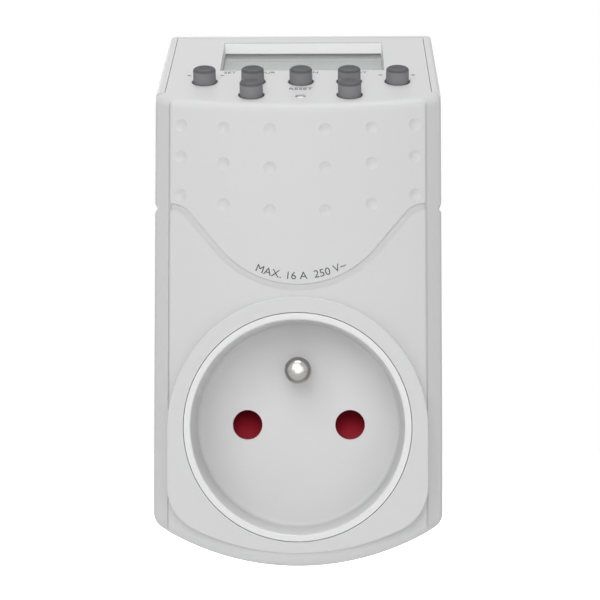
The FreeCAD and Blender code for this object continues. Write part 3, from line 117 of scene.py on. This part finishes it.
def place_along(tree, axis):
    """How far a point lies along an axis, in metres."""
    place = tree.nodes.new("ShaderNodeTexCoord")
    along = tree.nodes.new("ShaderNodeVectorMath")
    along.operation = "DOT_PRODUCT"
    along.inputs[1].default_value = axis
    tree.links.new(place.outputs["Object"], along.inputs[0])
    return along.outputs["Value"]


def calculate(tree, operation, first, second):
    """One sum on a value and either a second value or a plain number."""
    step = tree.nodes.new("ShaderNodeMath")
    step.operation = operation
    tree.links.new(first, step.inputs[0])
    if isinstance(second, float):
        step.inputs[1].default_value = second
    else:
        tree.links.new(second, step.inputs[1])
    return step.outputs["Value"]


def ramp_between(tree, value, start, end):
    """A share that grows from 0 to 1 while a value grows from the start to the end."""
    ramp = tree.nodes.new("ShaderNodeMapRange")
    ramp.inputs["From Min"].default_value = start
    ramp.inputs["From Max"].default_value = end
    tree.links.new(value, ramp.inputs["Value"])
    return ramp.outputs["Result"]


def blend_colour(material, share, colour):
    """Blends a second colour into a material where a share between 0 and 1 says so."""
    tree = material.node_tree
    shader = tree.nodes["Principled BSDF"]
    blend = tree.nodes.new("ShaderNodeMix")
    blend.data_type = "RGBA"
    tree.links.new(share, blend.inputs["Factor"])
    tree.links.new(shader.inputs["Base Color"].links[0].from_socket, blend.inputs["A"])
    blend.inputs["B"].default_value = (*colour, 1.0)
    tree.links.new(blend.outputs["Result"], shader.inputs["Base Color"])


casing_grey = (0.58, 0.58, 0.585)
# Painted light: a paler grey for the walls of the display's recess.
recess_painted_light = (0.9, 0.9, 0.905)
spark_finish = {
    "roughness": 0.5,
    "grain_size": 0.35 * millimetre,
    "grain_depth": 0.04 * millimetre,
}
panel_slope = math.radians(30.0)
panel_foot = Vector((0.0, -55.0, 56.98)) * millimetre
panel_outward = Vector((0.0, -math.sin(panel_slope), math.cos(panel_slope)))
panel_upward = Vector((0.0, math.cos(panel_slope), math.sin(panel_slope)))
panel_across = Vector((1.0, 0.0, 0.0))
# Where the painted light goes: below the panel face, from 19 mm up the panel and within 16 mm of
# its middle.
painted_light_limits = [
    (panel_outward, "LESS_THAN", -0.15 * millimetre),
    (panel_upward, "GREATER_THAN", 19.0 * millimetre),
    (panel_across, "LESS_THAN", 16.0 * millimetre),
    (panel_across, "GREATER_THAN", -16.0 * millimetre),
]


def cover_plastic():
    """The casing's plastic, with the walls of the display's recess painted paler, as painted light.
    """
    material = moulded_plastic("cover_plastic", casing_grey, **spark_finish)
    tree = material.node_tree
    share = None
    for axis, test, limit in painted_light_limits:
        within = calculate(tree, test, place_along(tree, axis), panel_foot.dot(axis) + limit)
        share = within if share is None else calculate(tree, "MULTIPLY", share, within)
    blend_colour(material, share, recess_painted_light)
    return material


finish_node("front_cover", cover_plastic())
casing = moulded_plastic("casing_plastic", casing_grey, **spark_finish)
for node in ("back_shell", "plug_body"):
    finish_node(node, casing)

# Socket cup: moulded in the same grey with a smoother satin mould face, it drops into the cover's
# round hole from behind and its flange rests on the cover. Its grey is painted paler than the
# casing's, as painted light in the well.
# Painted light: a paler grey than the casing's, standing in for light inside the well.
cup_painted_light_grey = (0.69, 0.69, 0.695)
cup = moulded_plastic("cup_plastic", cup_painted_light_grey, roughness=0.38,
                      grain_size=0.6 * millimetre, grain_depth=0.01 * millimetre)
finish_node("socket_cup", cup)

# Shutter: the dark red child-safety slide behind the socket's floor, moulded in polypropylene.
shutter_red = (0.38, 0.014, 0.03)
slide = moulded_plastic("shutter_plastic", shutter_red, roughness=0.35, shade=0.1,
                        grain_size=0.4 * millimetre, grain_depth=0.01 * millimetre)
finish_node("shutter", slide)


# Pins: turned brass rod with a nickel plating, so they carry faint rings from the lathe.
def plated_metal(name, colour, roughness, ring_size, ring_depth, across):
    """Plated metal with faint tool marks across one axis and slight stains."""
    ring_strength = 0.4
    stain_scale = 260.0
    stain_darkest = 0.86
    stain_dullness = 0.12
    material, tree, shader, place = new_material(name)
    shader.inputs["Metallic"].default_value = 1.0
    stretch = tree.nodes.new("ShaderNodeMapping")
    stretch.inputs["Scale"].default_value = across
    tree.links.new(place, stretch.inputs["Vector"])
    marks = add_noise(tree, stretch.outputs["Vector"], 1.0 / ring_size)
    raise_grain(tree, shader, marks, ring_strength, ring_depth)
    stain = add_noise(tree, place, stain_scale, detail=4.0)
    vary_colour(tree, shader, stain, colour, stain_darkest)
    vary_roughness(tree, shader, stain, roughness, roughness + stain_dullness)
    return material


nickel = plated_metal("nickel_plate", (0.46, 0.45, 0.43), roughness=0.16,
                      ring_size=0.4 * millimetre, ring_depth=0.004 * millimetre,
                      across=(0.15, 1.0, 0.15))
for node in ("line_pin_left", "line_pin_right", "socket_earth_pin"):
    finish_node(node, nickel)

# Contacts, clips and straps: brass strip and tube, pressed and bent, left bright.
brass = plated_metal("brass_strip", (0.72, 0.53, 0.24), roughness=0.24,
                     ring_size=0.5 * millimetre, ring_depth=0.005 * millimetre,
                     across=(1.0, 0.1, 1.0))
for node in ("contact_sleeve_left", "contact_sleeve_right", "neutral_link", "earth_sleeve",
             "earth_bridge", "earth_clip_top", "earth_clip_bottom", "earth_strap"):
    finish_node(node, brass)

# Screws and small steel: zinc-plated steel with the rolled grain of the blank.
steel = plated_metal("zinc_steel", (0.56, 0.57, 0.58), roughness=0.28,
                     ring_size=0.4 * millimetre, ring_depth=0.006 * millimetre,
                     across=(1.0, 0.2, 1.0))
for node in ("case_screws", "carrier_screws", "logic_board_screws", "power_board_screws",
             "shutter_spring", "battery_tabs", "backup_battery", "crystal"):
    finish_node(node, steel)

# Inner mouldings: natural polyamide for what holds the live parts, and the display's frame.
polyamide = moulded_plastic("inner_plastic", (0.62, 0.61, 0.56), roughness=0.42,
                            grain_size=0.5 * millimetre, grain_depth=0.02 * millimetre)
for node in ("contact_carrier", "pin_retainer", "lcd_frame"):
    finish_node(node, polyamide)

# Boards: glass-fibre laminate under green solder mask, with the soldered parts on them.
mask_green = (0.045, 0.17, 0.06)
for node, name in (("power_board", "power_mask"), ("logic_board", "logic_mask")):
    mask = moulded_plastic(name, mask_green, roughness=0.3, shade=0.2,
                           grain_size=0.6 * millimetre, grain_depth=0.01 * millimetre)
    finish_node(node, mask)
part_colours = {
    "relay": (0.03, 0.13, 0.36),
    "film_capacitor": (0.55, 0.42, 0.07),
    "electrolytic_capacitor": (0.02, 0.02, 0.03),
    "varistor": (0.03, 0.08, 0.34),
    "fuse": (0.62, 0.62, 0.58),
    "diodes": (0.02, 0.02, 0.02),
    "chip_blob": (0.015, 0.015, 0.015),
    "keypad_mat": (0.35, 0.35, 0.35),
    "zebra_strips": (0.3, 0.16, 0.2),
    "contact_pills": (0.02, 0.02, 0.02),
    "live_wire": (0.16, 0.06, 0.025),
    "neutral_wire": (0.02, 0.07, 0.4),
    "switched_wire": (0.015, 0.015, 0.015),
    "ribbon_cable": (0.4, 0.4, 0.4),
}
for node, colour in part_colours.items():
    coating = moulded_plastic(node + "_finish", colour, roughness=0.35, shade=0.08,
                              grain_size=0.5 * millimetre, grain_depth=0.01 * millimetre)
    finish_node(node, coating)


# Display: a reflective grey liquid crystal cell behind a clear acrylic window, with a painted
# shadow along its rear edge and painted light just below it.
def display_cell():
    """The cell's grey reflective face, with painted light paler towards the rear and a painted
    shadow dark along its rear edge.
    """
    upright = Vector((0.0, 0.0, 1.0))
    # Painted light and painted shadow, measured down from the cell's top edge: paler from 2.6 mm
    # below it, dark in the last 1.1 mm.
    cell_top = 71.4 * millimetre
    painted_light_and_shadow = [
        (-2.6 * millimetre, -0.8 * millimetre, (0.34, 0.35, 0.34)),
        (-1.1 * millimetre, -0.7 * millimetre, (0.11, 0.115, 0.11)),
    ]
    material = moulded_plastic("display_cell", (0.25, 0.26, 0.25), roughness=0.32, shade=0.05,
                               grain_size=0.8 * millimetre, grain_depth=0.002 * millimetre,
                               flow=40.0)
    tree = material.node_tree
    for start, end, colour in painted_light_and_shadow:
        height = place_along(tree, upright)
        blend_colour(material, ramp_between(tree, height, cell_top + start, cell_top + end), colour)
    return material


def clear_acrylic():
    """Clear acrylic for the window, with a faint haze."""
    haze_scale = 180.0
    material, tree, shader, place = new_material("clear_acrylic")
    shader.inputs["Transmission Weight"].default_value = 1.0
    shader.inputs["IOR"].default_value = 1.49
    shader.inputs["Base Color"].default_value = (0.97, 0.98, 0.975, 1.0)
    vary_roughness(tree, shader, add_noise(tree, place, haze_scale), least=0.02, most=0.08)
    return material


finish_node("lcd_glass", display_cell())
finish_node("display_lens", clear_acrylic())

# Push buttons: dark grey plastic caps with a soft matt finish, all seven as high above the sloping
# panel. Their dished tops are painted a shade darker, as painted shade.
cap_rise = 2.6 * millimetre
cap_grey = (0.23, 0.23, 0.237)
# Painted shade: the top 0.5 mm of each cap, along the panel's outward axis, darkens to this grey.
painted_shade_grey = (0.09, 0.09, 0.095)
painted_shade_start = -0.5 * millimetre
painted_shade_end = -0.2 * millimetre
cap = moulded_plastic("button_plastic", cap_grey, roughness=0.65, shade=0.06,
                      grain_size=0.3 * millimetre, grain_depth=0.02 * millimetre)
cap.node_tree.nodes["Principled BSDF"].inputs["Specular IOR Level"].default_value = 0.2
cap_top = panel_foot.dot(panel_outward) + cap_rise
painted_shade_share = ramp_between(cap.node_tree, place_along(cap.node_tree, panel_outward),
                      cap_top + painted_shade_start, cap_top + painted_shade_end)
blend_colour(cap, painted_shade_share, painted_shade_grey)
rear_buttons = ["button_rear_%d" % count for count in range(1, 6)]
front_buttons = ["button_front_1", "button_front_2"]
for node in rear_buttons + front_buttons:
    finish_node(node, cap)
plunger = moulded_plastic("reset_plastic", (0.8, 0.8, 0.78), roughness=0.4,
                          grain_size=0.4 * millimetre, grain_depth=0.01 * millimetre)
finish_node("reset_plunger", plunger)

# Shutter spring: a coil of steel wire on the peg under the shutter. On the real part it closes up
# as the shutter slides down on to its seat; here the coil rides on the case as it is.
weld_gap = 0.001 * millimetre


def soft_copy(node, name):
    """A merged copy of a construction node's mesh."""
    bpy.ops.object.select_all(action="DESELECT")
    copy = bpy.data.objects.new(name, nodes[node].data.copy())
    bpy.context.scene.collection.objects.link(copy)
    copy.select_set(True)
    bpy.context.view_layer.objects.active = copy
    bpy.ops.object.mode_set(mode="EDIT")
    bpy.ops.mesh.select_all(action="SELECT")
    bpy.ops.mesh.remove_doubles(threshold=weld_gap)
    bpy.ops.object.mode_set(mode="OBJECT")
    return copy


def settle(piece, node):
    """Lets a soft piece ride on the case in place of its construction node."""
    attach(piece, "case")
    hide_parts(node)


coil = soft_copy("shutter_spring", "shutter_coil")
settle(coil, "shutter_spring")
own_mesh(coil)

# Keypad: one moulding of grey silicone rubber, a sheet on the logic board with a hollow dome and a
# carbon pill under each button. On the real keypad each dome gives way under its own button; here
# the sheet, domes and pills all ride on the case, each dome and pill named after the button over
# it.
panel_turn = Matrix.Translation(panel_foot) @ Matrix.Rotation(panel_slope, 4, "X")
button_pitch = 8.9 * millimetre
button_offset = 0.45 * millimetre
rear_row = 12.8 * millimetre
front_row = 5.8 * millimetre
reset_place = 5.05 * millimetre
sheet_top = -6.45 * millimetre
presses = {"reset_plunger": (button_offset, reset_place)}
for steps, button in zip((-2, -1, 0, 1, 2), rear_buttons):
    presses[button] = (button_offset + steps * button_pitch, rear_row)
for steps, button in zip((-1, 1), front_buttons):
    presses[button] = (button_offset + steps * button_pitch, front_row)
sheet_point = panel_foot + panel_outward * sheet_top


def split_at_sheet(piece, keep_domes):
    """Cuts the mat just above its sheet and keeps the domes or the sheet."""
    bpy.context.view_layer.objects.active = piece
    bpy.ops.object.mode_set(mode="EDIT")
    bpy.ops.mesh.select_all(action="SELECT")
    bpy.ops.mesh.bisect(plane_co=sheet_point, plane_no=panel_outward, use_fill=True,
                        clear_inner=keep_domes, clear_outer=not keep_domes, threshold=weld_gap)
    bpy.ops.object.mode_set(mode="OBJECT")


def loose_pieces():
    """The separate solids of the active object, each as an object of its own."""
    bpy.ops.object.mode_set(mode="EDIT")
    bpy.ops.mesh.select_all(action="SELECT")
    bpy.ops.mesh.separate(type="LOOSE")
    bpy.ops.object.mode_set(mode="OBJECT")
    return list(bpy.context.selected_objects)


def give_way(piece, node, name):
    """Names one dome or pill after the button over it and lets it ride on the case."""
    corners = piece.data.vertices
    middle = panel_turn.inverted() @ (sum((v.co for v in corners), Vector()) / len(corners))
    over = min(presses, key=lambda press: (middle.xy - Vector(presses[press])).length)
    piece.name = name + over
    settle(piece, node)
    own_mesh(piece)


sheet = soft_copy("keypad_mat", "keypad_sheet")
split_at_sheet(sheet, False)
settle(sheet, "keypad_mat")
domes = soft_copy("keypad_mat", "keypad_domes")
split_at_sheet(domes, True)
for dome in loose_pieces():
    give_way(dome, "keypad_mat", "dome_under_")
soft_copy("contact_pills", "contact_discs")
for pill in loose_pieces():
    give_way(pill, "contact_pills", "pill_under_")

# Printing: thin grey ink, pad-printed on the sloping panel and round the wave groove. The words are
# plain function words and a plain rating, in place of the maker's own.
ink = moulded_plastic("printing_ink", (0.06, 0.06, 0.065), roughness=0.55, shade=0.1,
                      grain_size=0.4 * millimetre, grain_depth=0.004 * millimetre)
ink_thickness = 0.02 * millimetre
ink_lift = ink_thickness / 2
capital_share = 0.7
curve_steps = 4


def printed_word(words, height):
    """One printed word or sign as a thin raised mesh, lying flat and centred."""
    bpy.ops.object.select_all(action="DESELECT")
    bpy.ops.object.text_add()
    word = bpy.context.object
    word.data.body = words
    word.data.size = height / capital_share
    word.data.align_x = "CENTER"
    word.data.extrude = ink_thickness / 2
    word.data.resolution_u = curve_steps
    bpy.ops.object.convert(target="MESH")
    return word


def finish_print(piece, name):
    """Names a printed piece, gives it the ink and lets it ride on the case."""
    piece.name = name
    piece.data.materials.clear()
    piece.data.materials.append(ink)
    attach(piece, "case")


label_height = 1.05 * millimetre
label_row = 17.3 * millimetre
label_shift = 1.9 * millimetre
arrow_height = 1.1 * millimetre
arrow_row = 15.7 * millimetre
arrow_reach = 3.1 * millimetre
reset_height = 1.15 * millimetre
reset_row = 8.4 * millimetre
panel_words = [
    ("SET", label_height, button_offset - 1.5 * button_pitch, label_row),
    ("HOUR", label_height, button_offset - button_pitch + label_shift, label_row),
    ("MIN", label_height, button_offset + label_shift, label_row),
    ("DAY", label_height, button_offset + button_pitch + label_shift, label_row),
    ("RESET", reset_height, button_offset, reset_row),
]
for steps in (-2, 2):
    end_button = button_offset + steps * button_pitch
    panel_words.append(("<", arrow_height, end_button - arrow_reach, arrow_row))
    panel_words.append((">", arrow_height, end_button + arrow_reach, arrow_row))
printed = []
for words, height, across, up in panel_words:
    word = printed_word(words, height)
    word.data.transform(panel_turn @ Matrix.Translation((across, up, ink_lift)))
    printed.append(word)
for word in printed:
    word.select_set(True)
bpy.ops.object.join()
finish_print(bpy.context.object, "panel_printing")

# The rating follows the bowl of the wave groove, on the curved face.
rating = "MAX. 16 A  250 V~"
rating_height = 1.34 * millimetre
rating_width = 1.1
rating_shift = math.radians(2.0)
rating_radius = 19.0 * millimetre
rating_centre = 45.1 * millimetre
face_crown = -54.6 * millimetre
face_half_width = 23.0 * millimetre
face_bulge = 2.4 * millimetre
face_radius = (face_half_width ** 2 + face_bulge ** 2) / (2 * face_bulge)
print_lines = printed_word(rating, rating_height)
for corner in print_lines.data.vertices:
    swing = corner.co.x * rating_width / rating_radius + rating_shift
    reach = rating_radius - corner.co.y
    across = reach * math.sin(swing)
    up = rating_centre - reach * math.cos(swing)
    lean = math.asin(across / face_radius)
    deep = face_crown + face_radius * (1.0 - math.cos(lean)) - ink_lift - corner.co.z
    corner.co = (across, deep, up)
print_lines.data.update()
finish_print(print_lines, "rating_printing")

# Stage: a pale floor well below the part, and a bright room round it. The camera, gloss and glass
# see plain white, and all else gets the room's softer light.
white = (1.0, 1.0, 1.0, 1.0)
background_white = 1.0
room_light = 0.3
world = bpy.data.worlds.new("studio")
bpy.context.scene.world = world
world.use_nodes = True
room = world.node_tree
sky = room.nodes["Background"]
sky.inputs["Color"].default_value = white
sky.inputs["Strength"].default_value = room_light
ray = room.nodes.new("ShaderNodeLightPath").outputs
camera_or_gloss = calculate(room, "MAXIMUM", ray["Is Camera Ray"], ray["Is Glossy Ray"])
sees_white = calculate(room, "MAXIMUM", camera_or_gloss, ray["Is Transmission Ray"])
plain = room.nodes.new("ShaderNodeBackground")
plain.inputs["Color"].default_value = white
plain.inputs["Strength"].default_value = background_white
choice = room.nodes.new("ShaderNodeMixShader")
room.links.new(sees_white, choice.inputs["Fac"])
room.links.new(sky.outputs["Background"], choice.inputs[1])
room.links.new(plain.outputs["Background"], choice.inputs[2])
room.links.new(choice.outputs["Shader"], room.nodes["World Output"].inputs["Surface"])

floor_size = 3.0
floor_place = (0.0, 0.6, -0.09)
floor_brightness = 0.75
bpy.ops.object.select_all(action="DESELECT")
bpy.ops.mesh.primitive_plane_add(size=floor_size, location=floor_place)
floor = bpy.context.object
floor.name = "floor"
floor_paint = bpy.data.materials.new("floor_paint")
floor_paint.use_nodes = True
paint = floor_paint.node_tree
floor_shader = paint.nodes["Principled BSDF"]
floor_shader.inputs["Base Color"].default_value = (0.97, 0.97, 0.97, 1.0)
floor_shader.inputs["Roughness"].default_value = 0.9
floor_shader.inputs["Emission Color"].default_value = white
seen = paint.nodes.new("ShaderNodeLightPath").outputs["Is Camera Ray"]
glow = calculate(paint, "MULTIPLY", seen, floor_brightness)
paint.links.new(glow, floor_shader.inputs["Emission Strength"])
floor.data.materials.append(floor_paint)


# Lamps: a large soft box in front and above, a weaker one low on the right, one above the panel and
# one behind for the plug side.
def soft_box(name, place, size, power):
    """A square soft lamp aimed at the part."""
    aim = Vector((0.0, -0.045, 0.025))
    lamp = bpy.data.lights.new(name, "AREA")
    lamp.shape = "SQUARE"
    lamp.size = size
    lamp.energy = power
    holder = bpy.data.objects.new(name, lamp)
    bpy.context.scene.collection.objects.link(holder)
    holder.location = place
    holder.rotation_euler = (aim - Vector(place)).to_track_quat("-Z", "Y").to_euler()


soft_box("key_lamp", (-0.18, -0.93, 0.4), size=0.7, power=3.6)
soft_box("fill_lamp", (0.22, -1.0, 0.04), size=0.7, power=1.7)
soft_box("top_lamp", (0.0, -0.25, 0.95), size=0.6, power=4.5)
soft_box("back_lamp", (-0.35, 0.95, 0.45), size=0.7, power=4.0)

# Camera: about 30 cm in front of the socket, a little above its axis and tilted up.
camera_tilt = math.radians(2.9)
camera_turn = math.radians(0.87)
camera_data = bpy.data.cameras.new("camera")
camera_data.sensor_fit = "HORIZONTAL"
camera_data.sensor_width = 36.0
camera_data.lens = 101.8
camera_data.clip_start = 0.01
camera = bpy.data.objects.new("camera", camera_data)
bpy.context.scene.collection.objects.link(camera)
camera.location = (0.005, -0.355, 0.0072)
camera.rotation_euler = (math.radians(90.0) + camera_tilt, 0.0, camera_turn)
bpy.context.scene.camera = camera
bpy.context.scene.view_settings.view_transform = "Standard"
